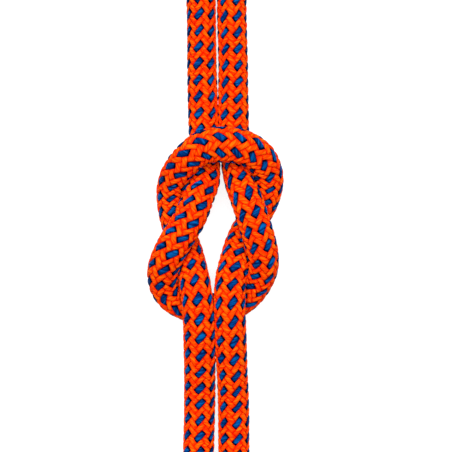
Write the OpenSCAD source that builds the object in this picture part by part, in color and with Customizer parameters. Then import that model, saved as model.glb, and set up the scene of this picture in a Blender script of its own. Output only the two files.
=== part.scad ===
// Two lengths of dynamic climbing rope joined by a square knot, lying on a flat surface.
// Each rope has a short tail beside the knot and its long end folded into a tied hank.
// X runs across the knot, Y along the rope, Z is up and the surface is Z = 0.

/* [Rope] */
// Diameter of the rope
rope_d = 10; // [8:0.1:10]
// Thickness of the braided sheath
sheath_wall = 1; // [0.6:0.1:1.4]
// Room between the sheath and the core
core_gap = 0.15; // [0.1:0.05:0.3]
// Flat sides around the rope in the knot
knot_sides = 10; // [8:2:12]
// Rings swept between two points of a rope's route
rings_per_point = 2; // [1:1:2]

/* [Hank] */
// Runs in a hank, counted from the knot to the rope's end
hank_runs = 7; // [7:4:7]
// Half the straight part of a run
run_half = 46; // [40:1:48]
// Half the width of the outermost fold
fold_half = 33; // [33:0.5:36]
// Step from one run to the next in a layer
turn_step = 11.5; // [11.3:0.1:11.7]
// Step from the lower layer up to the upper one
layer_step = 10.6; // [10.6:0.1:11]
// Flat sides around the rope in a hank
hank_sides = 6; // [6:2:8]

/* [Ends] */
// Length of a shrink sleeve on a rope's end
sleeve_length = 16; // [12:1:18]
// Thickness of a shrink sleeve
sleeve_wall = 0.5; // [0.4:0.1:0.5]
// Thickness of the fused cap that seals a cut end
seal_thickness = 1.4; // [1:0.1:1.5]

/* [Tie] */
// Width of the strap that ties a hank
strap_width = 20; // [15:1:24]
// Thickness of the strap
strap_thickness = 1.2; // [0.8:0.1:1.4]
// Length of the strap's overlapping end
flap_length = 26; // [20:1:30]

/* [Hidden] */

orange = [1, 0.31, 0.02];
white = [0.93, 0.93, 0.9];
black = [0.09, 0.09, 0.1];
charcoal = [0.2, 0.21, 0.23];

rope_r = rope_d / 2;
bore_r = rope_r - sheath_wall;
core_r = bore_r - core_gap;
// The underside is pressed flat by a tenth of the diameter, so the rope's centre lies this high.
lying = rope_r - rope_d / 10;

// A tail's sleeve stands on the surface, and lifts the end of the rope by this much.
sleeve_gap = 0.05;
sleeve_r = rope_r + sleeve_gap + sleeve_wall;
tail_z = sleeve_r;
seal_r = rope_r - 0.3;
seal_edge = 0.6;

// How high one rope lies where it crosses over the other
over = 15;

// The knot is this far right of the middle between the hanks' sides. The routes count from the knot.
knot_x = 5;

// The upper rope, from its tail through the knot to where its hank begins
upper_route = [
    [-5.5, 96, tail_z], [-5.5, 91, tail_z], [-5.5, 85, tail_z], [-5.5, 77, 5], [-5.3, 67, lying],
    [-5.1, 57, lying], [-4.9, 47, lying], [-4.5, 37, lying], [-4.3, 28, lying], [-4, 20.5, lying],
    [-3.8, 14, 7], [-6.5, 8.5, 12], [-8.3, 3, over], [-11.8, -2.5, 15.5], [-15.5, -8.5, 15],
    [-18.5, -14.5, 11.5], [-18.7, -20.8, 6], [-15.1, -26, lying], [-9.3, -28.8, lying],
    [-2.5, -29, lying], [5, -28.6, lying], [9.9, -25.8, lying], [14, -20.9, 6], [16.4, -15, 10.1],
    [15.5, -8.5, 14], [13.5, -2.5, 15.5], [11.7, 3, over], [10, 8.5, 13.3], [7.2, 14, 7.9],
    [6, 20.5, lying], [5.8, 28, lying], [5.6, 37, lying], [5.6, 47, lying], [5.5, 57, lying],
    [5.2, 67, lying], [5, 76, lying], [5, 82, lying], [5, 86, lying]
];

// The lower rope, from its tail through the knot to where its hank begins
lower_route = [
    [-6.5, -96, tail_z], [-6.5, -91, tail_z], [-6.5, -85, tail_z], [-6.5, -77, 5], [-5.9, -68, 5],
    [-5.8, -58, 6], [-5.8, -48, 9.5], [-6, -38, 13], [-6.2, -29.5, over], [-7, -22, 13.5],
    [-8, -15, 8.5], [-9.5, -8.5, 4.5], [-12.9, -3, lying], [-14.9, 2.5, lying], [-15.8, 8, lying],
    [-15.7, 13.5, 6], [-13.5, 18.2, 10.5], [-9.8, 22.3, 14], [-5.3, 26.2, over], [1, 27, over],
    [7.5, 26.5, over], [13.5, 24, 12.5], [17, 19.5, 8.5], [17.9, 14, 5], [16.6, 8.5, lying],
    [13.5, 3, lying], [10.3, -2, lying], [7.5, -7.5, 5], [5.4, -14, 9.4], [4, -21.5, 13.5],
    [4.3, -29.5, over], [4.9, -38, 13], [4.9, -48, 9.5], [5.3, -58, 6], [5.8, -68, 4.5],
    [6, -76, lying], [6, -82, lying], [6, -86, lying]
];

// From the end of a route into the first run of its hank
upper_lead = [
    [5, 86, lying], [5, 96, lying], [9, 102.5, lying], [14.5, 109, lying], [19.5, 116, lying],
    [23, 124, lying]
];
lower_lead = [
    [6, -86, lying], [6, -96, lying], [9.5, -102.5, lying], [14.5, -109, lying], [19.5, -116, lying],
    [23, -124, lying]
];

// The middle of a hank, which lies beyond the tail on the same line as the knot
hank_x = -8;
hank_y = 180;
run_steps = 4;
fold_steps = 8;
half_turn_steps = run_steps + fold_steps;
// The spiral reverses in the middle run, which also climbs a layer.
middle_run = (hank_runs - 1) / 2;
turns_in = middle_run / 2 + 1 / 8;
// The strap draws every run in by the same amount, until the two innermost lie a step apart.
drawn_in = fold_half - turn_step * (2 * turns_in - 1 / 2 + 1) / 2;
waist_reach = run_half + 12;
// The strap passes under the hank, which it lifts.
strap_room = 0.2;
strap_lift = strap_thickness + strap_room + rope_r - lying;

// ---- Routes ----

// A point of the smooth curve that points i to i + 1 guide
function curve_point(p, i, t) =
    (pow(1 - t, 3) * p[i - 1] + (3 * pow(t, 3) - 6 * t * t + 4) * p[i]
    + (3 * (t + t * t - pow(t, 3)) + 1) * p[i + 1] + pow(t, 3) * p[i + 2]) / 6;

// The smooth curve along a route, which starts and ends on its first and last points
function curve(route, steps) =
    let (last = len(route) - 1,
        before = 2 * route[0] - route[1],
        after = 2 * route[last] - route[last - 1],
        p = concat([before], route, [after]))
    concat(
        [for (i = [1 : last]) for (k = [0 : steps - 1]) curve_point(p, i, k / steps)],
        [route[last]]);

// How many steps the spiral has wound in after some turns, before and after it reverses
function wound_in(turns) = min(turns, 2 * turns_in - turns);

// How much of the strap's pull is left at a distance from the middle of the hank
function pull(y) = abs(y) < waist_reach ? pow(cos(90 * y / waist_reach), 2) : 0;

// A point of a loop seen from above: half turn k, step j of it, before the strap draws it in
function loop_point(k, j) =
    let (side = k % 2 == 0 ? 1 : -1,
        on_run = j <= run_steps,
        part = on_run ? j / run_steps : (j - run_steps) / fold_steps,
        turns = (k + (on_run ? part : 1 + part) / 2) / 2,
        reach = fold_half - turn_step * wound_in(turns))
    on_run ? [side * reach, side * run_half * (2 * part - 1)]
        : [side * reach * cos(180 * part), side * (run_half + reach * sin(180 * part))];

// The share of the climb that is done at step j of half turn k
function climbed(k, j) =
    let (part = k < middle_run ? 0 : k > middle_run ? 1 : min(j / run_steps, 1))
    part * part * (3 - 2 * part);

// The loops of a hank; way is 1 beyond the upper end of the knot and -1 beyond the lower end
function hank_loops(way) =
    [for (k = [0 : hank_runs - 1]) for (j = [0 : k == hank_runs - 1 ? run_steps : half_turn_steps - 1])
        let (p = loop_point(k, j), x = sign(p.x) * (abs(p.x) - drawn_in * pull(p.y)))
        [hank_x + x, way * (hank_y + p.y), lying + layer_step * climbed(k, j) + strap_lift * pull(p.y)]];

function from_middle(path) = [for (p = path) p + [knot_x, 0, 0]];

upper_knot = from_middle(curve(upper_route, rings_per_point));
lower_knot = from_middle(curve(lower_route, rings_per_point));
upper_hank = from_middle(concat(upper_lead, hank_loops(1)));
lower_hank = from_middle(concat(lower_lead, hank_loops(-1)));

// ---- Gaps, measured between points along the centre lines ----

function between(p, steps) =
    [for (i = [0 : len(p) - 2]) for (k = [0 : steps - 1]) p[i] + (p[i + 1] - p[i]) * k / steps];

// Points nearer along the rope than this many are neighbours, not another turn.
neighbours = 12;
function gap_to_itself(p) =
    min([for (i = [0 : len(p) - 1]) for (j = [i + neighbours : 1 : len(p) - 1]) norm(p[i] - p[j])]) - rope_d;
function gap_between(p, q) = min([for (a = p) for (b = q) norm(a - b)]) - rope_d;

echo(upper_hank_gap = gap_to_itself(between(upper_hank, 4)));
echo(lower_hank_gap = gap_to_itself(between(lower_hank, 4)));
echo(gap_between_the_ropes = gap_between(upper_knot, lower_knot));

// ---- Tubes ----

function unit(v) = v / norm(v);

// The direction of a path at its point i
function heading(path, i) = unit(path[min(i + 1, len(path) - 1)] - path[max(i - 1, 0)]);

// One ring of points round a path, held above a lowest level; its frame keeps one axis level.
function ring(path, i, r, lowest, sides) =
    let (ahead = heading(path, i),
        across = unit(cross(ahead, [0, 0, 1])),
        above = cross(across, ahead))
    [for (k = [0 : sides - 1])
        let (a = 360 * (k + 0.5) / sides - 90,
            p = path[i] + r * (cos(a) * across + sin(a) * above))
        [p.x, p.y, max(p.z, lowest)]];

// Triangles between ring a and ring b of a list of rings
function band(a, b, sides) =
    [for (k = [0 : sides - 1])
        let (n = (k + 1) % sides)
        each [[a * sides + k, b * sides + k, b * sides + n], [a * sides + k, b * sides + n, a * sides + n]]];

// A solid round cord along a path
module cord(path, r, lowest, sides) {
    last = len(path) - 1;
    polyhedron(
        points = [for (i = [0 : last]) each ring(path, i, r, lowest, sides)],
        faces = concat(
            [for (i = [0 : last - 1]) each band(i, i + 1, sides)],
            [for (k = [1 : sides - 2]) [0, k, k + 1]],
            [for (k = [1 : sides - 2]) [last * sides, last * sides + k + 1, last * sides + k]]));
}

// A hollow cord: rings along the outside, and back along the bore
module hollow_cord(path, sides) {
    count = len(path);
    polyhedron(
        points = concat(
            [for (i = [0 : count - 1]) each ring(path, i, rope_r, 0, sides)],
            [for (i = [count - 1 : -1 : 0]) each ring(path, i, bore_r, sheath_wall, sides)]),
        faces = [for (i = [0 : 2 * count - 1]) each band(i, (i + 1) % (2 * count), sides)]);
}

module sheath(path, sides) {
    color(orange) hollow_cord(path, sides);
}

module core(path, sides) {
    color(white) cord(path, core_r, sheath_wall + core_gap, sides);
}

// ---- What is on a rope's end; both are drawn along +Z with the cut face at Z = 0 ----

// Carries its children from the origin to a cut end, turned to point out of the rope.
module at_end(end, before) {
    out = unit(end - before);
    translate(end) rotate([0, acos(out.z), atan2(out.y, out.x)]) children();
}

module sleeve() {
    color(black) translate([0, 0, -sleeve_length]) difference() {
        cylinder(r = sleeve_r, h = sleeve_length, $fn = 48);
        translate([0, 0, -1]) cylinder(r = rope_r + sleeve_gap, h = sleeve_length + 2, $fn = 48);
    }
}

// The cap of sheath and core fused together, with a rounded edge
module seal() {
    color(orange) rotate_extrude($fn = 48) {
        square([seal_r - seal_edge, seal_thickness]);
        square([seal_r, seal_thickness - seal_edge]);
        intersection() {
            translate([seal_r - seal_edge, seal_thickness - seal_edge]) circle(r = seal_edge, $fn = 32);
            translate([seal_r - seal_edge, seal_thickness - seal_edge]) square(seal_edge);
        }
    }
}

module on_tail(path) {
    at_end(path[0], path[1]) children();
}

module on_hank_end(path) {
    at_end(path[len(path) - 1], path[len(path) - 2]) children();
}

// ---- The strap round a hank ----

// A rectangle with round corners, drawn from its lower left corner
module round_rectangle(size, r) {
    translate([r, 0]) square([size.x - 2 * r, size.y]);
    translate([0, r]) square([size.x, size.y - 2 * r]);
    for (x = [r, size.x - r], y = [r, size.y - r]) {
        translate([x, y]) circle(r = r, $fn = 48);
    }
}

// The outermost runs at the waist, on the outside and on the inside of the spiral
right_run_x = fold_half - turn_step * wound_in(1 / 8) - drawn_in;
left_run_x = -(fold_half - turn_step * wound_in(5 / 8) - drawn_in);
bundle = [right_run_x - left_run_x + rope_d, layer_step + rope_d];
hole = [bundle.x + 2 * strap_room, bundle.y + 2 * strap_room];
strap = [hole.x + 2 * strap_thickness, hole.y + 2 * strap_thickness];
flap_thickness = 1;

module hank_strap(way) {
    color(charcoal)
        translate([knot_x + hank_x + left_run_x - rope_r - strap_room - strap_thickness,
            way * hank_y + strap_width / 2, 0])
        rotate([90, 0, 0]) {
            linear_extrude(strap_width) difference() {
                round_rectangle(strap, rope_r + strap_room + strap_thickness);
                translate([strap_thickness, strap_thickness]) round_rectangle(hole, rope_r + strap_room);
            }
            // The end of the strap, closed over its start
            translate([(strap.x - flap_length) / 2, strap.y, strap_width / 2]) rotate([90, 0, 0])
                translate([0, 0, -flap_thickness]) flap();
        }
}

// A flat tab with one rounded end, from X = 0 to its length
module flap() {
    round_end = strap_width / 2;
    linear_extrude(flap_thickness) {
        translate([0, -strap_width / 2]) square([flap_length - round_end, strap_width]);
        translate([flap_length - round_end, 0]) circle(r = round_end, $fn = 64);
    }
}

// ---- The pieces ----

module upper_rope_sheath() sheath(upper_knot, knot_sides);
module upper_rope_core() core(upper_knot, knot_sides);
module upper_tail_sleeve() on_tail(upper_knot) sleeve();
module upper_tail_seal() on_tail(upper_knot) seal();
module upper_hank_sheath() sheath(upper_hank, hank_sides);
module upper_hank_core() core(upper_hank, hank_sides);
module upper_end_sleeve() on_hank_end(upper_hank) sleeve();
module upper_end_seal() on_hank_end(upper_hank) seal();
module upper_hank_strap() hank_strap(1);

module lower_rope_sheath() sheath(lower_knot, knot_sides);
module lower_rope_core() core(lower_knot, knot_sides);
module lower_tail_sleeve() on_tail(lower_knot) sleeve();
module lower_tail_seal() on_tail(lower_knot) seal();
module lower_hank_sheath() sheath(lower_hank, hank_sides);
module lower_hank_core() core(lower_hank, hank_sides);
module lower_end_sleeve() on_hank_end(lower_hank) sleeve();
module lower_end_seal() on_hank_end(lower_hank) seal();
module lower_hank_strap() hank_strap(-1);

upper_rope_sheath();
upper_rope_core();
upper_tail_sleeve();
upper_tail_seal();
upper_hank_sheath();
upper_hank_core();
upper_end_sleeve();
upper_end_seal();
upper_hank_strap();
lower_rope_sheath();
lower_rope_core();
lower_tail_sleeve();
lower_tail_seal();
lower_hank_sheath();
lower_hank_core();
lower_end_sleeve();
lower_end_seal();
lower_hank_strap();
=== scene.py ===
"""Two lengths of braided climbing rope joined by a square knot, lying on a white surface.

Each rope is one braided mesh from its sleeved tail, through the knot, to its strapped hank.
Every length below is in millimetres until a mesh is made, and in metres from there on.
"""

import math

import bpy
import numpy as np
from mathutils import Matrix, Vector


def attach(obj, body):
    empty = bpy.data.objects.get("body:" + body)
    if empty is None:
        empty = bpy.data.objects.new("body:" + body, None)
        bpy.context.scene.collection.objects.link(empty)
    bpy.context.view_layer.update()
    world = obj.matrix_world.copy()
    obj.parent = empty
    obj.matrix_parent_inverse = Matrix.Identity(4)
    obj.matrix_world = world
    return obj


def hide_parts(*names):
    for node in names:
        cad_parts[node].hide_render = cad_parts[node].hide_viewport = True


MM = 0.001
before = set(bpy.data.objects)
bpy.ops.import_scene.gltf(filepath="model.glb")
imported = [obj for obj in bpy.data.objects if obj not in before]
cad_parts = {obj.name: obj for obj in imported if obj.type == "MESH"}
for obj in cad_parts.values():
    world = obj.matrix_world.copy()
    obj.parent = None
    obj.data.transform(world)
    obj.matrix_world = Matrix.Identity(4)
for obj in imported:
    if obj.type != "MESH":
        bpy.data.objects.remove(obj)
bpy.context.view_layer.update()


def linked(name, data):
    """A new object in the scene"""
    obj = bpy.data.objects.new(name, data)
    bpy.context.scene.collection.objects.link(obj)
    return obj


# ---------------------------------------------------------------------------------------
# Camera: square above the knot, as in the photograph
# ---------------------------------------------------------------------------------------

LENS = 98.8
CAMERA_PLACE = (8.08, -0.685, 430.0)

camera_data = bpy.data.cameras.new("camera")
camera_data.type = "PERSP"
camera_data.sensor_width = 36.0
camera_data.lens = LENS
camera_data.clip_start = 0.01
camera = linked("camera", camera_data)
camera.location = [MM * value for value in CAMERA_PLACE]
bpy.context.scene.camera = camera

# ---------------------------------------------------------------------------------------
# Routes, the same as the solids'
# ---------------------------------------------------------------------------------------

ROPE_R = 5.0
LYING = 4.0
SLEEVE_R = 5.55
SLEEVE_LENGTH = 16.0
TAIL_Z = SLEEVE_R
OVER = 15.0
KNOT_X = 5.0

UPPER_ROUTE = [
    [-5.5, 96, TAIL_Z], [-5.5, 91, TAIL_Z], [-5.5, 85, TAIL_Z], [-5.5, 77, 5], [-5.3, 67, LYING],
    [-5.1, 57, LYING], [-4.9, 47, LYING], [-4.5, 37, LYING], [-4.3, 28, LYING], [-4, 20.5, LYING],
    [-3.8, 14, 7], [-6.5, 8.5, 12], [-8.3, 3, OVER], [-11.8, -2.5, 15.5], [-15.5, -8.5, 15],
    [-18.5, -14.5, 11.5], [-18.7, -20.8, 6], [-15.1, -26, LYING], [-9.3, -28.8, LYING],
    [-2.5, -29, LYING], [5, -28.6, LYING], [9.9, -25.8, LYING], [14, -20.9, 6], [16.4, -15, 10.1],
    [15.5, -8.5, 14], [13.5, -2.5, 15.5], [11.7, 3, OVER], [10, 8.5, 13.3], [7.2, 14, 7.9],
    [6, 20.5, LYING], [5.8, 28, LYING], [5.6, 37, LYING], [5.6, 47, LYING], [5.5, 57, LYING],
    [5.2, 67, LYING], [5, 76, LYING], [5, 82, LYING], [5, 86, LYING],
]
LOWER_ROUTE = [
    [-6.5, -96, TAIL_Z], [-6.5, -91, TAIL_Z], [-6.5, -85, TAIL_Z], [-6.5, -77, 5], [-5.9, -68, 5],
    [-5.8, -58, 6], [-5.8, -48, 9.5], [-6, -38, 13], [-6.2, -29.5, OVER], [-7, -22, 13.5], [-8, -15, 8.5],
    [-9.5, -8.5, 4.5], [-12.9, -3, LYING], [-14.9, 2.5, LYING], [-15.8, 8, LYING], [-15.7, 13.5, 6],
    [-13.5, 18.2, 10.5], [-9.8, 22.3, 14], [-5.3, 26.2, OVER], [1, 27, OVER], [7.5, 26.5, OVER],
    [13.5, 24, 12.5], [17, 19.5, 8.5], [17.9, 14, 5], [16.6, 8.5, LYING], [13.5, 3, LYING],
    [10.3, -2, LYING], [7.5, -7.5, 5], [5.4, -14, 9.4], [4, -21.5, 13.5], [4.3, -29.5, OVER],
    [4.9, -38, 13], [4.9, -48, 9.5], [5.3, -58, 6], [5.8, -68, 4.5], [6, -76, LYING], [6, -82, LYING],
    [6, -86, LYING],
]
UPPER_LEAD = [[5, 96, LYING], [9, 102.5, LYING], [14.5, 109, LYING], [19.5, 116, LYING], [23, 124, LYING]]
LOWER_LEAD = [[6, -96, LYING], [9.5, -102.5, LYING], [14.5, -109, LYING], [19.5, -116, LYING],
              [23, -124, LYING]]

HANK_X = -8.0
HANK_Y = 180.0
HANK_RUNS = 7
RUN_HALF = 46.0
FOLD_HALF = 33.0
TURN_STEP = 11.5
LAYER_STEP = 10.6
MIDDLE_RUN = (HANK_RUNS - 1) // 2
TURNS_IN = MIDDLE_RUN / 2 + 1 / 8
DRAWN_IN = FOLD_HALF - TURN_STEP * (2 * TURNS_IN + 0.5) / 2
WAIST_REACH = RUN_HALF + 12
STRAP_THICKNESS = 1.2
STRAP_ROOM = 0.2
STRAP_WIDTH = 20.0
STRAP_LIFT = STRAP_THICKNESS + STRAP_ROOM + ROPE_R - LYING
LOOP_STEPS = 60  # along each run and each fold
SPLINE_STEPS = 16
STEP = 0.5
SOFTENED = 4.0
SOFTENED_FROM = 14.0  # before the end of the knot's stretch


def eased(share):
    """A share from 0 to 1, with a gentle start and end."""
    return share * share * (3 - 2 * share)


def b_spline(points, steps):
    """The uniform cubic B-spline that starts and ends on the first and last points."""
    p = np.array(points, float)
    p = np.vstack([2 * p[0] - p[1], p, 2 * p[-1] - p[-2]])
    t = np.arange(steps) / steps
    basis = np.stack([(1 - t) ** 3, 3 * t**3 - 6 * t**2 + 4, 3 * (t + t * t - t**3) + 1, t**3], 1) / 6
    return np.vstack([basis @ p[i : i + 4] for i in range(len(p) - 3)] + [p[-2:-1]])


def hank_loops(way):
    """The centre line of a hank's runs and folds. Its way is 1 above the knot and -1 below it."""
    points = []
    for k in range(HANK_RUNS):
        side = 1 if k % 2 == 0 else -1
        for on_run in (True, False) if k < HANK_RUNS - 1 else (True,):
            for part in np.arange(0, 1, 1 / LOOP_STEPS):
                turns = (k + (part if on_run else 1 + part) / 2) / 2
                reach = FOLD_HALF - TURN_STEP * min(turns, 2 * TURNS_IN - turns)
                if on_run:
                    x, y = side * reach, side * RUN_HALF * (2 * part - 1)
                else:
                    x = side * reach * math.cos(math.pi * part)
                    y = side * (RUN_HALF + reach * math.sin(math.pi * part))
                pull = math.cos(math.pi / 2 * y / WAIST_REACH) ** 2 if abs(y) < WAIST_REACH else 0
                x = math.copysign(abs(x) - DRAWN_IN * pull, x)
                climb = part if on_run else 1
                up = 0 if k < MIDDLE_RUN else 1 if k > MIDDLE_RUN else climb
                z = LYING + LAYER_STEP * eased(up) + STRAP_LIFT * pull
                points.append([HANK_X + x, way * (HANK_Y + y), z])
    return points


def arc_length(points):
    """How far along the line each of its points lies."""
    return np.concatenate([[0], np.cumsum(np.linalg.norm(np.diff(points, axis=0), axis=1))])


def evenly(points, step):
    """The same line as points, one step apart."""
    s = arc_length(points)
    at = np.linspace(0, s[-1], int(round(s[-1] / step)) + 1)
    return np.stack([np.interp(at, s, points[:, k]) for k in range(3)], 1)


def softened(points, step, width):
    """A line with its corners rounded; both ends stay where they are."""
    reach = int(4 * width / step)
    before = 2 * points[0] - points[reach:0:-1]
    after = 2 * points[-1] - points[-2 : -reach - 2 : -1]
    weights = np.exp(-0.5 * (np.arange(-reach, reach + 1) * step / width) ** 2)
    weights /= weights.sum()
    line = np.vstack([before, points, after])
    return np.stack([np.convolve(line[:, k], weights, "valid") for k in range(3)], 1)


class Route:
    """A rope's centre line, with its direction, across and up axes every STEP."""

    def __init__(self, route, lead, way):
        knot = b_spline(route, SPLINE_STEPS)
        self.knot_length = arc_length(knot)[-1]
        whole = np.vstack([knot, lead, hank_loops(way)]) + [KNOT_X, 0, 0]
        whole = evenly(whole, STEP)
        s = arc_length(whole)
        rounded = softened(whole, STEP, SOFTENED)
        share = eased(np.clip((s - self.knot_length + SOFTENED_FROM) / SOFTENED_FROM, 0, 1))[:, None]
        self.points = evenly(whole * (1 - share) + rounded * share, STEP)
        self.s = arc_length(self.points)
        self.length = self.s[-1]
        ahead = np.gradient(self.points, axis=0)
        self.ahead = ahead / np.linalg.norm(ahead, axis=1)[:, None]
        across = np.cross(self.ahead, [0, 0, 1.0])
        self.across = across / np.linalg.norm(across, axis=1)[:, None]
        self.up = np.cross(self.across, self.ahead)

    def at(self, values, s):
        """The points or the directions at these places along the rope"""
        return np.stack([np.interp(s, self.s, values[:, k]) for k in range(3)], -1)


upper = Route(UPPER_ROUTE, UPPER_LEAD, 1)
lower = Route(LOWER_ROUTE, LOWER_LEAD, -1)

# ---------------------------------------------------------------------------------------
# The braid
# ---------------------------------------------------------------------------------------

CARRIERS = 12  # yarns each way round
AROUND = 2 * CARRIERS  # cells once round the rope
CELL_ANGLE = math.pi / CARRIERS
RING_CELLS = 4  # cells along the rope from one ring of blue floats to the next
RING_PITCH = 5.65
FIRST_CELL = -18  # the crossing that falls on the cut end of the tail
BLUE_MIDDLE = 1.5  # cells round the rope from a crossing to the middle of a blue float
RELIEF = 0.5
CROWNS_OUT = 0.18  # how far the floats' crowns stand beyond the half widths below
SQUARE_ACROSS = 3.0  # the higher, the flatter a float's crown
SQUARE_ALONG = 4.8
FLATTEST, TALLEST = 4.7, 5.05  # half the height of a pressed and of a free rope
SQUEEZED_R = 4.9  # the rope's radius inside a sleeve
SLEEVE_MOUTH = 0.8  # half the length over which the sleeve takes hold
BLUE_FATTER = 0.05  # cells, as are the next two
BLUE_LONGER = 0.12
UNEVEN = 0.15
UNEVEN_HEIGHT = 0.12  # as a share of a crown's height
SEED, CHANCES = 7, 4099  # the numbers that make floats and crossings differ

# Where the rings of blue floats lie along each rope (ring, mm from the tail's end), and where a line of
# blue floats runs round it (mm, degrees from the top)
UPPER_RINGS = [
    (-2, 12.8), (0, 24.5), (7, 63.9), (10, 81.2), (12, 94.4), (14, 104.5), (15, 109.8), (16, 115.7),
    (18, 128.7), (20, 140), (24, 164.8), (27, 181.5), (29, 190.9), (30, 196.5), (31, 204.2), (33, 218.6),
    (35, 229.4), (41, 262.8),
]
UPPER_TURN = [
    (0, 7), (24, 7), (35, 13), (46, 20), (61, 18), (79, 21), (98, 34), (111, 44), (117, 54), (124, 74),
    (129, 93), (135, 99), (150, 93), (163, 100), (170, 92), (182, 85), (190, 79), (200, 77), (209, 88),
    (220, 76), (230, 79), (240, 84), (254, 84), (300, 84),
]
LOWER_RINGS = [
    (-2, 12.7), (0, 24), (2, 36.1), (4, 48), (6, 60.7), (8, 71.6), (9, 76.5), (10, 83), (14, 106),
    (16, 116.9), (17, 124.6), (18, 128.5), (20, 140.5), (22, 151.1), (26, 172.8), (28, 183.9),
    (30, 194.5), (31, 201.3), (33, 212.3), (34, 217.3), (36, 230.2), (38, 242.3), (41, 260),
]
LOWER_TURN = [
    (0, 5), (30, 4), (40, 1), (50, 5), (59, 8), (72, 5), (85, -4), (95, -8), (105, -4), (110, 5),
    (115, 6), (120, 14), (127, 36), (135, 44), (141, 35), (148, 28), (154, 17), (160, -4), (165, -10),
    (172, -12), (180, -8), (186, -3), (200, -9), (210, -12), (226, -12), (240, -21), (250, -15),
    (262, -14), (300, -14),
]

# Half each rope's width, seen from above: mm from the tail's end, then the half against the route's
# across direction and the half along it
UPPER_WIDE = [
    (0, 4.9, 4.9), (30, 4.9, 4.9), (42, 4.8, 5.1), (48, 4.85, 5.15), (52, 4.9, 5.3), (60, 4.9, 5.3),
    (66, 5, 5.2), (75, 5, 5), (86, 5.05, 5.2), (100, 5.55, 5.4), (110, 5.5, 5.35), (118, 5.4, 5.15),
    (134, 5.2, 5.1), (145, 5, 4.9), (156, 5.1, 4.7), (170, 5.5, 4.65), (178, 5.5, 5), (186, 5.4, 5.35),
    (197, 5.4, 5.3), (205, 4.7, 5.2), (214, 4.5, 5.1), (226, 5.2, 5.2), (236, 5.3, 5.1), (242, 4.95, 5),
    (300, 4.9, 4.9),
]
LOWER_WIDE = [
    (0, 4.9, 5.4), (20, 5.1, 5.3), (30, 5.3, 5.1), (46, 5.25, 5.2), (52, 5.2, 5.45), (61, 5.1, 5.5),
    (72, 5.2, 5.3), (80, 5.3, 5), (86, 5.4, 4.5), (91, 5.4, 4.45), (98, 5.2, 4.9), (108, 4.85, 5),
    (120, 5, 5.1), (128, 5, 5.4), (134, 5.2, 5.9), (141, 5.7, 6.1), (148, 5.65, 5.9), (155, 5.45, 5.6),
    (162, 5.15, 5.3), (175, 4.95, 5.1), (185, 5.2, 5.4), (195, 5.4, 4.95), (205, 5.4, 5.1),
    (215, 5.2, 5.2), (223, 5.1, 5.5), (231, 5.25, 5.35), (237, 5.35, 4.95), (246, 5.5, 5),
    (254, 5.25, 5.3), (262, 5, 5.5), (275, 5, 5.3), (300, 4.9, 5.1),
]


def bell_smoothed(values, width):
    """The values, each averaged with its neighbours. The width is a number of values."""
    reach = 4 * width
    weights = np.exp(-0.5 * (np.arange(-reach, reach + 1) / width) ** 2)
    before = 2 * values[0] - values[reach:0:-1]
    after = 2 * values[-1] - values[-2 : -reach - 2 : -1]
    return np.convolve(np.concatenate([before, values, after]), weights / weights.sum(), "valid")


def profile(s, pairs):
    """A value that is given at some places along the rope, eased between them."""
    margin, step, width = 20, 0.5, 6
    at, value = np.array(pairs, float).T
    grid = np.arange(-margin, s.max() + margin, step)
    return np.interp(s, grid, bell_smoothed(np.interp(grid, at, value), width))


class Pitch:
    """Where the cells of a braid lie along its rope"""

    def __init__(self, rings, length):
        number, place = np.array(rings, float).T
        last = int(RING_CELLS * (number[-1] + (length - place[-1]) / RING_PITCH))
        self.cells = last - FIRST_CELL
        known = np.concatenate([[FIRST_CELL], RING_CELLS * number + 0.5, [last]])
        step, width = 0.25, 12
        self.grid = np.arange(FIRST_CELL, last + 0.01, step)
        places = np.interp(self.grid, known, np.concatenate([[0], place, [length]]))
        self.s = bell_smoothed(places, width)
        self.s[0], self.s[-1] = 0, length

    def place(self, cell):
        return np.interp(cell, self.grid, self.s)

    def cell(self, s):
        return np.interp(s, self.s, self.grid)


def smooth_max(z, floor, soft):
    """The greater of z and the floor, rounded where they meet."""
    return floor + 0.5 * ((z - floor) + np.sqrt((z - floor) ** 2 + soft * soft))


def crossing_at(cell_a, cell_b):
    """The crossing just before a place, where a place on a crossing counts as that crossing"""
    return np.floor(cell_a + 1e-6), np.floor(cell_b + 1e-6)


def on_float(i, j, cell_a, cell_b):
    """How far across and along the float on top at crossing i, j a place lies, each from 0 to 1."""
    four = (i + j) % 4
    right = four < 2
    fa, fb = cell_a - i, cell_b - j
    return np.where(right, fa, fb), np.where(right, four + fb, four - 2 + fa) / 2


def float_number(i, j, steps):
    """A number below CHANCES for each float. The steps keep those of neighbouring floats apart."""
    four = (i + j) % 4
    right = four < 2
    wrap = np.where(right, i % CARRIERS, j % CARRIERS)
    row = np.where(right, j - four, i - (four - 2))
    return (wrap * steps[0] + row * steps[1] + right * steps[2]).astype(int) % CHANCES


def braid_relief(cell_a, cell_b, chances):
    """How high a yarn stands at a place on the braid, given in cells along the two ways of the yarns."""
    i, j = crossing_at(cell_a, cell_b)
    across, along = on_float(i, j, cell_a, cell_b)
    crown = (1 - np.abs(2 * across - 1) ** SQUARE_ACROSS) * (1 - np.abs(2 * along - 1) ** SQUARE_ALONG)
    # Each float stands a little higher or lower than the next.
    return crown * (1 + UNEVEN_HEIGHT * chances[float_number(i, j, (31, 17, 7))])


def uneven(cell_a, cell_b, chances):
    """A number between -1 and 1, different at each crossing and changing evenly between them."""
    i, j = crossing_at(cell_a, cell_b)
    fa, fb = cell_a - i, cell_b - j

    def crossing(i, j):
        wrap = i % CARRIERS
        return chances[(wrap * 37 + (j - i + wrap) * 101).astype(int) % CHANCES]

    near = crossing(i, j) * (1 - fb) + crossing(i, j + 1) * fb
    far = crossing(i + 1, j) * (1 - fb) + crossing(i + 1, j + 1) * fb
    return near * (1 - fa) + far * fa


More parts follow.
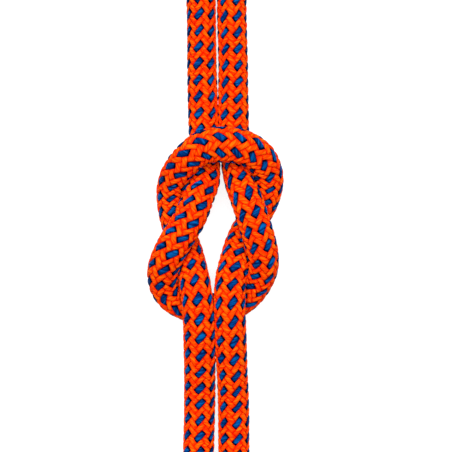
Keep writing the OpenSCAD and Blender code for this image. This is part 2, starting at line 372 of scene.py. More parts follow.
class Band:
    """A stretch of the braid's net, with m rows of vertices to a cell, numbered from start."""

    def __init__(self, m, first, last, start):
        self.m, self.first, self.last, self.start = m, first, last, start
        self.around = CARRIERS * m
        self.end = start + (last - first + 1) * self.around

    def row(self, r):
        """The vertices of row r, once round the rope"""
        return self.start + (r - self.first) * self.around + np.arange(self.around)

    def beside(self, r, other):
        """For each vertex of row r, the next one of a neighbouring row. Odd rows lie half a step on."""
        return np.roll(self.row(other), -(r % 2))

    def cells(self):
        """Each vertex's place along and round the rope, in cells"""
        rows = np.arange(self.first, self.last + 1)
        turned_by = 2 * np.arange(self.around)[None, :] + (rows % 2)[:, None]
        return np.repeat(rows / self.m, self.around), (turned_by / self.m).ravel()

    def diamonds(self):
        faces = []
        for r in range(self.first + 1, self.last):
            left = self.row(r)
            below, above = self.beside(r, r - 1), self.beside(r, r + 1)
            faces.append(np.stack([left, below, np.roll(left, -1), above], 1))
        return faces

    def half_diamonds(self):
        """The triangles along the band's two ends"""
        low, high = self.row(self.first), self.row(self.last)
        return [
            np.stack([low, np.roll(low, -1), self.beside(self.first, self.first + 1)], 1),
            np.stack([np.roll(high, -1), high, self.beside(self.last, self.last - 1)], 1),
        ]


def zip_of_triangles(one, two, c_cells):
    """The triangles between two rings of vertices that are divided differently."""
    triangles = []
    p, q = 0, 0
    while p < len(one) or q < len(two):
        next_one, next_two = one[(p + 1) % len(one)], two[(q + 1) % len(two)]
        next_p = c_cells[next_one] + AROUND * ((p + 1) // len(one))
        next_q = c_cells[next_two] + AROUND * ((q + 1) // len(two))
        a, b = one[p % len(one)], two[q % len(two)]
        if q >= len(two) or (p < len(one) and next_p <= next_q):
            triangles.append([a, next_one, b])
            p += 1
        else:
            triangles.append([a, next_two, b])
            q += 1
    return np.array(triangles)


def braid_net(change, cells, fine, coarse):
    """The net of a closed tube, finely divided up to the cell where it changes.

    It gives the vertices' places along and round the rope in cells, then the diamonds, the triangles and
    the caps. The last two vertices are the middles of the cut ends.
    """
    knot = Band(fine, 0, change * fine, 0)
    hank = Band(coarse, change * coarse + 1, cells * coarse, knot.end)
    s_cells, c_cells = (np.concatenate(both) for both in zip(knot.cells(), hank.cells()))
    join = zip_of_triangles(knot.row(knot.last), hank.row(hank.first), c_cells)
    tail, end = knot.row(knot.first), hank.row(hank.last)
    middle = np.full(knot.around, hank.end), np.full(hank.around, hank.end + 1)
    return (
        np.append(s_cells, [0, cells]),
        np.append(c_cells, [0, 0]),
        np.concatenate(knot.diamonds() + hank.diamonds()),
        np.concatenate(knot.half_diamonds() + hank.half_diamonds() + [join]),
        np.concatenate([np.stack([np.roll(tail, -1), tail, middle[0]], 1),
                        np.stack([end, np.roll(end, -1), middle[1]], 1)]),
    )


def braid_places(s_cells, c_cells, pitch, route, turn_of, wide_of, chances):
    """Where each vertex of the net is, in mm."""
    cell_a, cell_b = (c_cells - s_cells - FIRST_CELL) / 2, (c_cells + s_cells + FIRST_CELL) / 2
    # The blue yarns are a little fatter and their floats longer, and no two crossings are quite alike.
    fatter = BLUE_FATTER * (1 - 2 * np.abs(cell_a % 2 - 1))
    blue_yarn = 2 * np.round((cell_a - 0.5) / 2)
    near_blue = np.cos((cell_a - 0.5 - blue_yarn) * np.pi / 2) ** 2
    longer = -BLUE_LONGER * near_blue * np.cos((blue_yarn + cell_b) * np.pi / 2)
    settled = np.clip(np.minimum(s_cells, pitch.cells - s_cells) / 2, 0, 1)
    moved_c = fatter + longer + UNEVEN * uneven(cell_a, cell_b, chances)
    moved_s = longer - fatter + UNEVEN * uneven(cell_a + 5, cell_b + 40, chances)
    s = pitch.place(s_cells + FIRST_CELL + moved_s * settled)
    turn = np.radians(profile(s, turn_of))
    angle = (c_cells + moved_c * settled - BLUE_MIDDLE) * CELL_ANGLE + turn
    # The rope is pressed wide and flat here and there, and its ends are squeezed by the sleeves.
    left, right = (profile(s, [(row[0], row[k]) for row in wide_of]) for k in (1, 2))
    wide = (left + right) / 2 + (right - left) / 2 * np.sin(angle)
    tall = np.clip(2 * ROPE_R**2 / (left + right), FLATTEST, TALLEST)
    to_end = np.minimum(s, route.length - s)
    squeezed = eased(np.clip((SLEEVE_LENGTH + SLEEVE_MOUTH - to_end) / (2 * SLEEVE_MOUTH), 0, 1))
    wide, tall = wide + (SQUEEZED_R - wide) * squeezed, tall + (SQUEEZED_R - tall) * squeezed
    relief = RELIEF * braid_relief(cell_a, cell_b, chances)
    lift = relief - RELIEF + CROWNS_OUT * (1 - squeezed)
    x = (wide + lift) * np.sin(angle)
    y = (tall + lift) * np.cos(angle)
    x[-2:] = 0
    y[-2:] = 0
    middle, across, up = (route.at(values, s) for values in (route.points, route.across, route.up))
    place = middle + x[:, None] * across + y[:, None] * up
    place[:, 2] = smooth_max(place[:, 2], floor=0.0, soft=0.35)
    return place


def rope_mesh(name, route, rings, turn_of, wide_of, fine, coarse):
    """A closed braided tube along the whole route. Its vertices lie on the crossings of the yarns."""
    chances = np.random.default_rng(SEED).uniform(-1, 1, CHANCES)
    pitch = Pitch(rings, route.length)
    change = int(pitch.cell(route.knot_length)) - FIRST_CELL
    s_cells, c_cells, quads, triangles, caps = braid_net(change, pitch.cells, fine, coarse)
    place = braid_places(s_cells, c_cells, pitch, route, turn_of, wide_of, chances)

    mesh = bpy.data.meshes.new(name)
    loops = np.concatenate([quads.ravel(), triangles.ravel(), caps.ravel()])
    sizes = np.concatenate([np.full(len(quads), 4), np.full(len(triangles) + len(caps), 3)])
    loop_start = np.concatenate([[0], np.cumsum(sizes)[:-1]])
    mesh.vertices.add(len(place))
    mesh.vertices.foreach_set("co", (place * MM).ravel())
    mesh.loops.add(len(loops))
    mesh.loops.foreach_set("vertex_index", loops.astype(np.int32))
    mesh.polygons.add(len(sizes))
    mesh.polygons.foreach_set("loop_start", loop_start.astype(np.int32))
    mesh.update(calc_edges=True)

    # Where each corner is in the braid, kept whole across the seam where the angle starts again
    face_of = np.repeat(np.arange(len(sizes)), sizes)
    corner_s, corner_c = s_cells[loops], c_cells[loops]
    highest = np.maximum.reduceat(corner_c, loop_start)[face_of]
    corner_c[highest - corner_c > CARRIERS] += AROUND
    cell_a, cell_b = (corner_c - corner_s - FIRST_CELL) / 2, (corner_c + corner_s + FIRST_CELL) / 2
    i, j = (np.floor(np.add.reduceat(cell, loop_start) / sizes) for cell in (cell_a, cell_b))
    across, along = on_float(i[face_of], j[face_of], cell_a, cell_b)
    yarn = mesh.uv_layers.new(name="Yarn")
    yarn.data.foreach_set("uv", np.clip(np.stack([across, along], 1), 0, 1).ravel())
    blue = (((i + j) % 4 < 2) & (i % 2 == 0)).astype(float)
    blue[-len(caps) :] = 0
    tone = 0.5 + 0.5 * chances[float_number(i, j, (131, 57, 77))]
    for label, values in (("blue", blue), ("tone", tone)):
        layer = mesh.attributes.new(label, "FLOAT", "FACE")
        layer.data.foreach_set("value", values)

    # The rope laid out in strips side by side, for the exported model's textures
    strips, margin = 7, 4
    strip = pitch.cells / strips
    along_face = np.add.reduceat(corner_s, loop_start) / sizes
    which = np.minimum((along_face / strip).astype(int), strips - 1)[face_of]
    girth = AROUND * CELL_ANGLE * ROPE_R
    cell = route.length / pitch.cells
    scale = 1 / max(strip * cell + margin, strips * (girth + margin))
    u = ((corner_s - which * strip) * cell + margin / 2) * scale
    v = (which * (girth + margin) + margin / 4 + corner_c * CELL_ANGLE * ROPE_R) * scale
    laid = mesh.uv_layers.new(name="OFBake")
    laid.data.foreach_set("uv", np.stack([u, v], 1).ravel())
    mesh.validate()
    mesh.shade_smooth()
    return linked(name, mesh)


# ---------------------------------------------------------------------------------------
# Materials
# ---------------------------------------------------------------------------------------


class Nodes:
    """Short names for building a material's nodes."""

    def __init__(self, name):
        self.material = bpy.data.materials.new(name)
        self.material.use_nodes = True
        self.tree = self.material.node_tree
        self.tree.nodes.clear()
        self.shader = self.add("ShaderNodeBsdfPrincipled")
        self.output = self.add("ShaderNodeOutputMaterial")
        self.link(self.shader.outputs[0], self.output.inputs[0])

    def add(self, kind, **settings):
        node = self.tree.nodes.new(kind)
        for key, value in settings.items():
            setattr(node, key, value)
        return node

    def link(self, a, b):
        self.tree.links.new(a, b)

    def put(self, socket, value):
        if isinstance(value, bpy.types.NodeSocket):
            self.link(value, socket)
        else:
            socket.default_value = value

    def math(self, operation, *values):
        node = self.add("ShaderNodeMath", operation=operation)
        for k, value in enumerate(values):
            self.put(node.inputs[k], value)
        return node.outputs[0]

    def map(self, value, low, high, to_low=0.0, to_high=1.0, kind="SMOOTHSTEP"):
        node = self.add("ShaderNodeMapRange", interpolation_type=kind)
        for k, v in enumerate((value, low, high, to_low, to_high)):
            self.put(node.inputs[k], v)
        return node.outputs[0]

    def mix(self, share, a, b):
        node = self.add("ShaderNodeMix", data_type="RGBA")
        self.put(node.inputs["Factor"], share)
        self.put(node.inputs[6], a)
        self.put(node.inputs[7], b)
        return node.outputs[2]

    def noise(self, vector, scale, detail=2.0, rough=0.5):
        node = self.add("ShaderNodeTexNoise")
        self.put(node.inputs["Vector"], vector)
        self.put(node.inputs["Scale"], scale)
        node.inputs["Detail"].default_value = detail
        node.inputs["Roughness"].default_value = rough
        return node.outputs["Fac"]

    def join(self, x, y, z=0.0):
        node = self.add("ShaderNodeCombineXYZ")
        for k, value in enumerate((x, y, z)):
            self.put(node.inputs[k], value)
        return node.outputs[0]

    def split(self, vector):
        node = self.add("ShaderNodeSeparateXYZ")
        self.link(vector, node.inputs[0])
        return node.outputs

    def bump(self, height, strength, distance):
        node = self.add("ShaderNodeBump")
        node.inputs["Strength"].default_value = strength
        node.inputs["Distance"].default_value = distance
        self.link(height, node.inputs["Height"])
        self.link(node.outputs[0], self.shader.inputs["Normal"])


def rgb(r, g, b):
    """A colour given as it looks on the screen, 0 to 255"""
    shown = (c / 255 for c in (r, g, b))
    return (*(c / 12.92 if c <= 0.0404 else ((c + 0.055) / 1.055) ** 2.4 for c in shown), 1.0)


def yarn_material():
    """Braided polyamide yarns, orange or blue, with painted shade along their edges and where they dip, and
    a painted highlight on their crowns
    """
    n = Nodes("braided_sheath")
    place = n.add("ShaderNodeUVMap", uv_map="Yarn").outputs[0]
    across, along, _ = n.split(place)
    tone = n.add("ShaderNodeAttribute", attribute_name="tone").outputs["Fac"]
    blue = n.add("ShaderNodeAttribute", attribute_name="blue").outputs["Fac"]
    # Filaments run along the yarn with a slight slant from its twist.
    slanted = n.math("SUBTRACT", n.math("MULTIPLY", across, 3.4), n.math("MULTIPLY", along, 4.2))
    filament = n.join(slanted, n.math("MULTIPLY", along, 0.8), n.math("MULTIPLY", tone, 37.0))
    threads = n.noise(filament, 1.0, 4.0, 0.6)
    side = n.math("ABSOLUTE", n.math("SUBTRACT", n.math("MULTIPLY", across, 2.0), 1.0))
    end = n.math("ABSOLUTE", n.math("SUBTRACT", n.math("MULTIPLY", along, 2.0), 1.0))
    pillow = n.math("MULTIPLY", n.math("SUBTRACT", 1.0, n.math("POWER", side, 5.0)),
                    n.math("SUBTRACT", 1.0, n.math("POWER", end, 5.0)))
    # Painted highlight on each float's crown, mixed with the yarn's own fibre streaks; the low parts take
    # the darker colour as painted shade
    lit = n.math("ADD", n.math("MULTIPLY", pillow, 0.3), n.math("MULTIPLY", threads, 1.4))
    painted_highlight_and_streaks = n.map(lit, 0.82, 1.22)
    # Painted shade: the creases between floats darken to deep red
    painted_crease_shade = n.map(pillow, 0.6, 0.0)
    orange = n.mix(painted_highlight_and_streaks, rgb(255, 36, 0), rgb(255, 116, 4))
    orange = n.mix(n.map(tone, 0.0, 1.0, 0.0, 0.25, "LINEAR"), orange, rgb(255, 92, 0))
    orange = n.mix(painted_crease_shade, orange, rgb(205, 0, 0))
    navy = n.mix(painted_highlight_and_streaks, rgb(0, 28, 88), rgb(0, 100, 182))
    navy = n.mix(n.map(tone, 0.0, 1.0, 0.0, 0.3, "LINEAR"), navy, rgb(0, 50, 120))
    # Painted shade along the blue floats' edges, and a painted shadow at their ends where they dip under
    # the crossing yarns
    navy = n.mix(n.map(pillow, 1.0, 0.4), navy, rgb(0, 0, 18))
    navy = n.mix(n.map(end, 0.62, 0.98, 0.0, 0.9), navy, rgb(0, 0, 18))
    n.link(n.mix(blue, orange, navy), n.shader.inputs["Base Color"])
    n.link(n.map(threads, 0.3, 0.7, 0.55, 0.40, "LINEAR"), n.shader.inputs["Roughness"])
    n.shader.inputs["Specular IOR Level"].default_value = 0.015
    n.bump(n.math("ADD", n.math("POWER", pillow, 0.6), n.math("MULTIPLY", threads, 0.45)), 0.8, 0.0003)
    return n.material


def strand_material():
    """White polyamide strands, each twisted of finer yarns"""
    n = Nodes("core_strands")
    across, along, _ = n.split(n.add("ShaderNodeUVMap", uv_map="Strand").outputs[0])
    lay = n.math("FRACT", n.math("ADD", n.math("MULTIPLY", across, 3.0), n.math("MULTIPLY", along, 0.22)))
    groove = n.math("ABSOLUTE", n.math("SUBTRACT", n.math("MULTIPLY", lay, 2.0), 1.0))
    fibres = n.noise(n.join(n.math("MULTIPLY", lay, 14.0), n.math("MULTIPLY", along, 0.9)), 1.0, 3.0)
    colour = n.mix(n.map(fibres, 0.3, 0.7), rgb(214, 212, 204), rgb(246, 245, 240))
    # Painted shade in the grooves between the twisted yarns
    colour = n.mix(n.map(groove, 0.75, 1.0, 0.0, 0.6), colour, rgb(150, 146, 138))
    n.link(colour, n.shader.inputs["Base Color"])
    n.link(n.map(fibres, 0.3, 0.7, 0.7, 0.5, "LINEAR"), n.shader.inputs["Roughness"])
    n.shader.inputs["Specular IOR Level"].default_value = 0.3
    n.bump(n.math("SUBTRACT", fibres, n.map(groove, 0.7, 1.0)), 0.5, 0.0002)
    return n.material


def sleeve_material():
    """Black shrink tube with a satin skin"""
    n = Nodes("shrink_sleeve")
    place = n.add("ShaderNodeTexCoord").outputs["Object"]
    cloudy = n.noise(place, 260.0, 3.0)
    fine = n.noise(place, 2400.0, 2.0)
    n.link(n.mix(n.map(cloudy, 0.35, 0.7), rgb(24, 24, 26), rgb(44, 44, 47)), n.shader.inputs["Base Color"])
    worn = n.math("ADD", n.math("MULTIPLY", cloudy, 0.7), n.math("MULTIPLY", fine, 0.3))
    n.link(n.map(worn, 0.3, 0.7, 0.38, 0.6, "LINEAR"), n.shader.inputs["Roughness"])
    n.shader.inputs["Specular IOR Level"].default_value = 0.4
    n.bump(n.math("ADD", n.math("MULTIPLY", cloudy, 0.6), n.math("MULTIPLY", fine, 0.2)), 0.3, 0.0003)
    return n.material


def seal_material():
    """Sheath and core melted together: amber and blue swirls under a glassy skin"""
    n = Nodes("fused_seal")
    place = n.add("ShaderNodeTexCoord").outputs["Object"]
    swirl = n.noise(place, 420.0, 4.0, 0.6)
    blots = n.noise(place, 900.0, 3.0)
    colour = n.mix(n.map(swirl, 0.38, 0.62), rgb(120, 30, 6), rgb(226, 78, 14))
    colour = n.mix(n.map(blots, 0.55, 0.68, 0.0, 0.8), colour, rgb(18, 30, 70))
    n.link(colour, n.shader.inputs["Base Color"])
    n.link(n.map(blots, 0.3, 0.7, 0.22, 0.45, "LINEAR"), n.shader.inputs["Roughness"])
    n.bump(n.math("ADD", swirl, n.math("MULTIPLY", blots, 0.4)), 0.5, 0.0004)
    return n.material


def webbing_material():
    """Charcoal loop tape: short curled pile between two woven edges"""
    n = Nodes("hook_and_loop_strap")
    along, across, _ = n.split(n.add("ShaderNodeUVMap", uv_map="Tape").outputs[0])
    pile = n.noise(n.join(along, across), 1.9, 4.0, 0.65)
    tufts = n.noise(n.join(along, across), 0.45, 2.0)
    warp, weft = (n.math("SINE", n.math("MULTIPLY", *way)) for way in ((along, 7.0), (across, 9.0)))
    weave = n.math("MULTIPLY", warp, weft)
    from_middle = n.math("ABSOLUTE", n.math("SUBTRACT", across, STRAP_WIDTH / 2))
    edge = n.map(from_middle, STRAP_WIDTH / 2 - 1.9, STRAP_WIDTH / 2 - 1.5)
    piled = n.mix(n.map(pile, 0.36, 0.66), rgb(34, 36, 40), rgb(86, 89, 95))
    piled = n.mix(n.map(tufts, 0.35, 0.65, 0.0, 0.35), piled, rgb(58, 61, 66))
    woven = n.mix(n.map(weave, -0.6, 0.6), rgb(38, 40, 44), rgb(74, 77, 83))
    n.link(n.mix(edge, piled, woven), n.shader.inputs["Base Color"])
    n.link(n.map(pile, 0.3, 0.7, 0.95, 0.75, "LINEAR"), n.shader.inputs["Roughness"])
    n.shader.inputs["Specular IOR Level"].default_value = 0.15
    n.shader.inputs["Sheen Weight"].default_value = 0.25
    n.shader.inputs["Sheen Roughness"].default_value = 0.6
    raised_pile = n.math("MULTIPLY", pile, n.math("SUBTRACT", 1.0, edge))
    raised_weave = n.math("MULTIPLY", n.math("MULTIPLY", weave, edge), 0.35)
    n.bump(n.math("ADD", raised_pile, raised_weave), 0.8, 0.0004)
    return n.material


def thread_material():
    """Grey sewing thread"""
    n = Nodes("stitching_thread")
    place = n.add("ShaderNodeTexCoord").outputs["Object"]
    twist = n.noise(place, 3200.0, 2.0)
    colour = n.mix(n.map(twist, 0.35, 0.65), rgb(96, 98, 102), rgb(150, 152, 156))
    n.link(colour, n.shader.inputs["Base Color"])
    n.shader.inputs["Roughness"].default_value = 0.6
    n.bump(twist, 0.4, 0.0001)
    return n.material


sheath = yarn_material()
strands = strand_material()
sleeve_skin = sleeve_material()
seal_skin = seal_material()
webbing = webbing_material()
thread = thread_material()

# ---------------------------------------------------------------------------------------
# What is inside the ropes and on their ends
# ---------------------------------------------------------------------------------------


def mesh_object(name, points, faces, materials, uv=None, uv_name=None, face_material=None):
    """A smooth mesh from points in mm. The uv gives each corner's place, face by face."""
    mesh = bpy.data.meshes.new(name)
    mesh.from_pydata((np.asarray(points) * MM).tolist(), [], faces)
    if uv is not None:
        layer = mesh.uv_layers.new(name=uv_name)
        layer.data.foreach_set("uv", np.array([corner for face in uv for corner in face], float).ravel())
    for material in materials:
        mesh.materials.append(material)
    if face_material is not None:
        mesh.polygons.foreach_set("material_index", np.array(face_material, np.int32))
    mesh.validate()
    mesh.shade_smooth()
    return linked(name, mesh)


LOWEST = 0.02  # above the surface
OUTER_STRANDS = 6
STRAND_R = 1.19
STRAND_GAP = 0.03
STRAND_SIDES = 6
STRAND_STEP = 3.0
STRAND_LAY = 48.0  # one turn of the strands round the middle one
CORE_INSET = 0.4  # from the rope's cut ends


def core_mesh(name, route):
    """Six strands laid round a seventh, inside the sheath from end to end"""
    s = np.linspace(CORE_INSET, route.length - CORE_INSET, int(route.length / STRAND_STEP))
    middle, across, up = (route.at(v, s) for v in (route.points, route.across, route.up))
    points, faces, uv = [], [], []
    for strand in range(OUTER_STRANDS + 1):
        turn = 2 * np.pi * (s / STRAND_LAY + strand / OUTER_STRANDS)
        out = 0 if strand == OUTER_STRANDS else 2 * STRAND_R + STRAND_GAP
        centre = middle + out * (np.cos(turn)[:, None] * across + np.sin(turn)[:, None] * up)
        first = len(points)
        for k in range(len(s)):
            for q in range(STRAND_SIDES):
                a = 2 * np.pi * q / STRAND_SIDES - turn[k] * 0.5
                points.append(centre[k] + STRAND_R * (np.cos(a) * across[k] + np.sin(a) * up[k]))
        for k in range(len(s) - 1):
            for q in range(STRAND_SIDES):
                p, n = first + k * STRAND_SIDES, (q + 1) % STRAND_SIDES
                faces.append((p + q, p + STRAND_SIDES + q, p + STRAND_SIDES + n, p + n)[::-1])
                u, w = q / STRAND_SIDES, (q + 1) / STRAND_SIDES
                uv.append([(w, s[k]), (w, s[k + 1]), (u, s[k + 1]), (u, s[k])])
        for ring, flip in ((first, 1), (first + (len(s) - 1) * STRAND_SIDES, -1)):
            faces.append(tuple(ring + q for q in range(STRAND_SIDES))[::-flip])
            uv.append([(0.5, 0.0)] * STRAND_SIDES)
    return mesh_object(name, points, faces, [strands], uv, "Strand")


def turned(name, profile, route, at_end, segments, material, wobble, seed):
    """A piece turned round a rope's end. Its profile is (radius, mm beyond the cut), round the section."""
    rng = np.random.default_rng(seed)
    waves = [
        (rng.integers(2, 9), rng.uniform(0, 6.28), rng.uniform(0.3, 1.0), rng.uniform(-0.4, 0.4))
        for _ in range(7)
    ]
    radius, beyond = np.array(profile).T
    s = route.length + beyond if at_end else -beyond
    axes = (route.points, route.ahead, route.across, route.up)
    middle, ahead, across, up = (route.at(values, s) for values in axes)
    if not at_end:
        ahead, across = -ahead, -across
    middle = middle + ahead * np.maximum(beyond, 0)[:, None]
    closed = radius[0] > 0  # otherwise the first and last points lie on the axis
    rim = np.arange(len(profile)) if closed else np.arange(1, len(profile) - 1)
    points, faces = [], []
    for q in range(segments):
        a = 2 * np.pi * q / segments
        wave = sum(h * np.sin(n * a + p + k * beyond) for n, p, h, k in waves)
        bend = wave / 4 * wobble * np.minimum(1, radius / 3)
        out = np.cos(a) * across + np.sin(a) * up
        points.extend((middle + (radius + bend)[:, None] * out)[rim])
    m = len(rim)
    for q in range(segments):
        here, there = q * m, (q + 1) % segments * m
        for k in range(m if closed else m - 1):
            after = (k + 1) % m
            faces.append((here + k, here + after, there + after, there + k))
        if not closed:
            faces.append((here, there, segments * m))
            faces.append((there + m - 1, here + m - 1, segments * m + 1))
    points = np.array(points if closed else points + [middle[0], middle[-1]])
    points[:, 2] = np.maximum(points[:, 2], LOWEST)
    return mesh_object(name, points, faces, [material])


# The sleeve from its shrunk mouth on the rope to the rolled rim at the cut, and back inside
SLEEVE_PROFILE = [
    (5.10, -16.0), (5.28, -15.95), (5.42, -15.7), (5.49, -15.2), (5.50, -14.0), (5.47, -11.0),
    (5.49, -8.0), (5.47, -5.0), (5.50, -2.0), (5.52, -0.8), (5.50, -0.3), (5.40, -0.05), (5.25, 0.0),
    (5.08, -0.15), (5.03, -1.0), (5.03, -5.0), (5.03, -8.0), (5.03, -12.0), (5.03, -15.0), (5.05, -15.8),
]
SEAL_PROFILE = [
    (0.0, 1.28), (1.2, 1.36), (2.6, 1.38), (3.6, 1.28), (4.3, 1.08), (4.62, 0.78), (4.68, 0.42), (4.6, 0.1),
    (4.3, 0.0), (2.0, -0.02), (0.0, -0.03),
]


# ---------------------------------------------------------------------------------------
# The straps
# ---------------------------------------------------------------------------------------

RIGHT_RUN = FOLD_HALF - TURN_STEP / 8 - DRAWN_IN
LEFT_RUN = -(FOLD_HALF - TURN_STEP * 5 / 8 - DRAWN_IN)
# Width and height of the ring's middle line
BAND = (RIGHT_RUN - LEFT_RUN + 2 * ROPE_R + 2 * STRAP_ROOM + STRAP_THICKNESS,
        LAYER_STEP + 2 * ROPE_R + 2 * STRAP_ROOM + STRAP_THICKNESS)
BAND_CORNER = ROPE_R + STRAP_ROOM + STRAP_THICKNESS / 2
BAND_STEPS = 150
CORNER_STEPS = 12
FLAP_LENGTH = 26.0
FLAP_THICKNESS = 0.95
FLAP_STEPS = 40
FLAP_WEAVE = 300  # where the flap starts in the pattern of the tape
FLAP_SUNK = 0.02  # into the ring
TIP_HALF = 0.35  # half the width of the flap's very tip
TIP_FROM, TIP_SHARE, TIP_LIFT = 0.8, 0.2, 0.05  # the share of the flap that lifts, and how far
SEAM_LEFT, SEAM_RIGHT, SEAM_HALF = -9.5, -1.0, 6.5  # the sewn box, from the middle of the flap
STITCH_LEVEL = 0.86  # as a share of the flap's thickness
STITCH_PITCH = 2.1
STITCH_FROM, STITCH_TO = 0.12, 0.88  # as shares of the pitch
STITCH_SIDES = 6


def band_line(steps):
    """The strap's middle line round the hank: even places, their outward directions and stations"""
    (w, h), r = BAND, BAND_CORNER
    line, outward = [], []
    corners = [(w / 2 - r, h - r, 90), (w / 2 - r, r, 0), (-w / 2 + r, r, -90), (-w / 2 + r, h - r, -180)]
    for x, z, start in corners:
        for k in range(CORNER_STEPS + 1):
            a = math.radians(start - 90 * k / CORNER_STEPS)
            outward.append((math.cos(a), math.sin(a)))
            line.append((x + r * math.cos(a), z + r * math.sin(a)))
    line, outward = np.array(line + line[:1]), np.array(outward + outward[:1])
    s = arc_length(line)
    at = np.linspace(0, s[-1], steps, endpoint=False)
    line = np.stack([np.interp(at, s, line[:, k]) for k in range(2)], 1)
    outward = np.stack([np.interp(at, s, outward[:, k]) for k in range(2)], 1)
    return line, outward / np.linalg.norm(outward, axis=1)[:, None], at


def tape_section(width, thickness):
    """The strap cut across: a thin rectangle with round edges, each a little thicker than the middle"""
    half, t = width / 2, thickness / 2
    top = [(-half, 0), (-half + 0.15, 0.72 * t), (-half + 0.5, t), (-half + 1.5, 0.98 * t),
           (-half + 1.9, 0.80 * t), (-half / 2, 0.84 * t), (0, 0.82 * t)]
    top += [(-y, z) for y, z in reversed(top[1:-1])]
    return top + [(half, 0)] + [(-y, -z) for y, z in top[1:]]


def tape_faces(first, stations, closed, section, faces, uv):
    """Adds the faces between the sections of a tape, which stand at these stations along its pattern."""
    m, count = len(section), len(stations) - 1
    for k in range(count):
        here = first + k * m
        there = first if closed and k == count - 1 else here + m
        for q in range(m):
            nq = (q + 1) % m
            faces.append((here + q, here + nq, there + nq, there + q))
            y0, y1 = (section[v][0] + STRAP_WIDTH / 2 for v in (q, nq))
            s0, s1 = stations[k], stations[k + 1]
            uv.append([(s0, y0), (s0, y1), (s1, y1), (s1, y0)])


def stitch(points, faces, start, end, up):
    """Adds one raised stitch, from start to end on a surface that faces up."""
    along = end - start
    long = np.linalg.norm(along)
    along = along / long
    side = np.cross(up, along)
    first = len(points)
    # Shares of the stitch's length, and how full the thread is there
    rings = [(0.0, 0.0), (0.14, 0.6), (0.35, 0.95), (0.65, 0.95), (0.86, 0.6), (1.0, 0.0)]
    for share, full in rings:
        centre = start + along * long * share + up * (0.16 * full - 0.06)
        for q in range(STITCH_SIDES):
            a = 2 * np.pi * q / STITCH_SIDES
            r = 0.04 + 0.19 * full
            points.append(centre + r * (np.cos(a) * side + np.sin(a) * up))
    for k in range(len(rings) - 1):
        here = first + k * STITCH_SIDES
        there = here + STITCH_SIDES
        for q in range(STITCH_SIDES):
            n = (q + 1) % STITCH_SIDES
            faces.append((here + q, here + n, there + n, there + q)[::-1])
    last = first + (len(rings) - 1) * STITCH_SIDES
    faces.append(tuple(first + q for q in range(STITCH_SIDES)))
    faces.append(tuple(last + q for q in range(STITCH_SIDES))[::-1])


def strap_mesh(name, way):
    """A strap closed round the middle of a hank, with the sewn end of the tape on top"""
    points, faces, uv = [], [], []
    middle_x = KNOT_X + HANK_X + (LEFT_RUN + RIGHT_RUN) / 2
    middle_y = way * HANK_Y
    line, outward, at = band_line(BAND_STEPS)
    section = tape_section(STRAP_WIDTH, STRAP_THICKNESS)
    m = len(section)
    for (x, z), (ox, oz) in zip(line, outward):
        for y, t in section:
            points.append((middle_x + x + t * ox, middle_y + y, max(z + t * oz, LOWEST)))
    tape_faces(0, [*at, at[-1] + at[1]], True, section, faces, uv)
    # The end of the strap, closed over its start, lies on top with its tip lifting a little.
    top = BAND[1] + STRAP_THICKNESS / 2
    first = len(points)
    for k in range(FLAP_STEPS + 1):
        share = k / FLAP_STEPS
        x = -FLAP_LENGTH / 2 + FLAP_LENGTH * share
        left = FLAP_LENGTH * (1 - share)
        half = STRAP_WIDTH / 2
        if left < half:
            half = max(math.sqrt(max(half**2 - (half - left) ** 2, 0)), TIP_HALF)
        narrowed = half / (STRAP_WIDTH / 2)
        thick = FLAP_THICKNESS * min(1, 0.25 + share * 6)
        lift = top + thick / 2 - FLAP_SUNK + TIP_LIFT * max(0, share - TIP_FROM) / TIP_SHARE
        for y, t in section:
            points.append((middle_x + x, middle_y + y * narrowed, lift + t * thick / STRAP_THICKNESS))
    stations = [FLAP_WEAVE + FLAP_LENGTH * k / FLAP_STEPS for k in range(FLAP_STEPS + 1)]
    tape_faces(first, stations, False, section, faces, uv)
    for ring, flip in ((first, 1), (first + FLAP_STEPS * m, -1)):
        faces.append(tuple(ring + q for q in range(m))[::flip])
        uv.append([(FLAP_WEAVE + z, y + STRAP_WIDTH / 2) for y, z in section][::flip])
    tape_count = len(faces)
    # A sewn box with a cross near the flap's straight end
    up = np.array([0, 0, 1.0])
    z = top + FLAP_THICKNESS * STITCH_LEVEL
    corners = [(SEAM_LEFT, -SEAM_HALF), (SEAM_LEFT, SEAM_HALF),
               (SEAM_RIGHT, SEAM_HALF), (SEAM_RIGHT, -SEAM_HALF)]
    seams = list(zip(corners, corners[1:] + corners[:1]))
    seams += [(corners[0], corners[2]), (corners[1], corners[3])]
    for (xa, ya), (xb, yb) in seams:
        a = np.array([middle_x + xa, middle_y + ya, z])
        b = np.array([middle_x + xb, middle_y + yb, z])
        number = max(2, round(np.linalg.norm(b - a) / STITCH_PITCH))
        for k in range(number):
            start, end = (a + (b - a) * (k + share) / number for share in (STITCH_FROM, STITCH_TO))
            stitch(points, faces, start, end, up)
    uv += [[(0.0, 0.0)] * len(face) for face in faces[tape_count:]]
    kinds = [0] * tape_count + [1] * (len(faces) - tape_count)
    return mesh_object(name, points, faces, [webbing, thread], uv, "Tape", kinds)


# ---------------------------------------------------------------------------------------
# The ropes
# ---------------------------------------------------------------------------------------

upper_rope = rope_mesh("upper_rope", upper, UPPER_RINGS, UPPER_TURN, UPPER_WIDE, fine=5, coarse=2)
lower_rope = rope_mesh("lower_rope", lower, LOWER_RINGS, LOWER_TURN, LOWER_WIDE, fine=5, coarse=2)

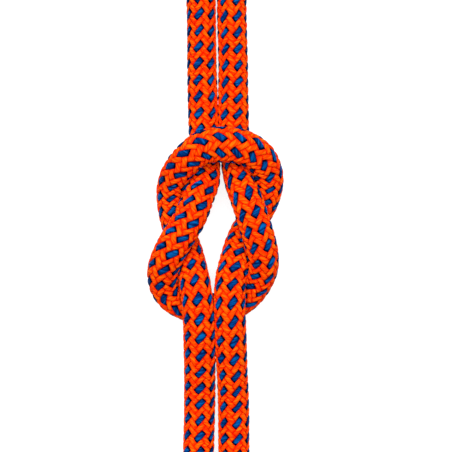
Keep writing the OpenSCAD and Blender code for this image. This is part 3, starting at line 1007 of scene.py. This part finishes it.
for rope, route, which, way in ((upper_rope, upper, "upper", 1), (lower_rope, lower, "lower", -1)):
    rope.data.materials.append(sheath)
    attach(rope, "root")
    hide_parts(f"{which}_rope_sheath", f"{which}_hank_sheath")

    core = core_mesh(f"{which}_core", route)
    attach(core, "root")
    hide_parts(f"{which}_rope_core", f"{which}_hank_core")

    for k, end in enumerate(("tail", "end")):
        sleeve = turned(f"{which}_{end}_shrink_sleeve", SLEEVE_PROFILE, route, k,
                        segments=64, material=sleeve_skin, wobble=0.05, seed=11 + k + way)
        seal = turned(f"{which}_{end}_fused_seal", SEAL_PROFILE, route, k,
                      segments=48, material=seal_skin, wobble=0.16, seed=21 + k + way)
        for piece, slot in ((sleeve, "sleeve"), (seal, "seal")):
            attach(piece, "root")
            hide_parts(f"{which}_{end}_{slot}")

    strap = strap_mesh(f"{which}_hank_tie", way)
    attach(strap, "root")
    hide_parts(f"{which}_hank_strap")

# ---------------------------------------------------------------------------------------
# Floor, light and background
# ---------------------------------------------------------------------------------------

FLOOR_HALF = 4.0  # metres
FLOOR_GREY = 0.4  # what the light falls on, and so how deep the shadow is
FLOOR_GLOW = 0.8  # what the camera sees besides, up to white
AMBIENT = 0.18
LIGHT_STRENGTH = 4.15
LIGHT_SPREAD = 75.0  # degrees
LIGHT_FROM = (-0.06, 0.34, 1.0)
WHITE = (1, 1, 1, 1)

floor_mesh = bpy.data.meshes.new("floor")
corners = [(x * FLOOR_HALF, y * FLOOR_HALF, 0) for x, y in ((-1, -1), (1, -1), (1, 1), (-1, 1))]
floor_mesh.from_pydata(corners, [], [(0, 1, 2, 3)])
floor = linked("floor", floor_mesh)
n = Nodes("white_surface")
n.shader.inputs["Base Color"].default_value = (FLOOR_GREY, FLOOR_GREY, FLOOR_GREY, 1)
n.shader.inputs["Roughness"].default_value = 0.9
n.shader.inputs["Specular IOR Level"].default_value = 0.0
rays = n.add("ShaderNodeLightPath")
seen = n.math("MAXIMUM", rays.outputs["Is Camera Ray"],
              n.math("MAXIMUM", rays.outputs["Is Glossy Ray"], rays.outputs["Is Transmission Ray"]))
glow = n.add("ShaderNodeEmission")
n.link(n.math("MULTIPLY", seen, FLOOR_GLOW), glow.inputs["Strength"])
both = n.add("ShaderNodeAddShader")
n.link(n.shader.outputs[0], both.inputs[0])
n.link(glow.outputs[0], both.inputs[1])
n.link(both.outputs[0], n.output.inputs[0])
floor_mesh.materials.append(n.material)

world = bpy.data.worlds.new("world")
bpy.context.scene.world = world
world.use_nodes = True
tree = world.node_tree
tree.nodes.clear()
rays = tree.nodes.new("ShaderNodeLightPath")
mixed = tree.nodes.new("ShaderNodeMixShader")
out = tree.nodes.new("ShaderNodeOutputWorld")
tree.links.new(rays.outputs["Is Camera Ray"], mixed.inputs[0])
# The camera sees plain white, and the object gets the ambient light.
for socket, strength in ((1, AMBIENT), (2, 1.0)):
    background = tree.nodes.new("ShaderNodeBackground")
    background.inputs["Color"].default_value = WHITE
    background.inputs["Strength"].default_value = strength
    tree.links.new(background.outputs[0], mixed.inputs[socket])
tree.links.new(mixed.outputs[0], out.inputs[0])

# One broad, even light from above, like a large softbox
softbox = bpy.data.lights.new("softbox", "SUN")
softbox.energy = LIGHT_STRENGTH
softbox.angle = np.radians(LIGHT_SPREAD)
light = linked("softbox", softbox)
light.rotation_euler = Vector(LIGHT_FROM).to_track_quat("Z", "Y").to_euler()

bpy.context.scene.view_settings.view_transform = "Standard"
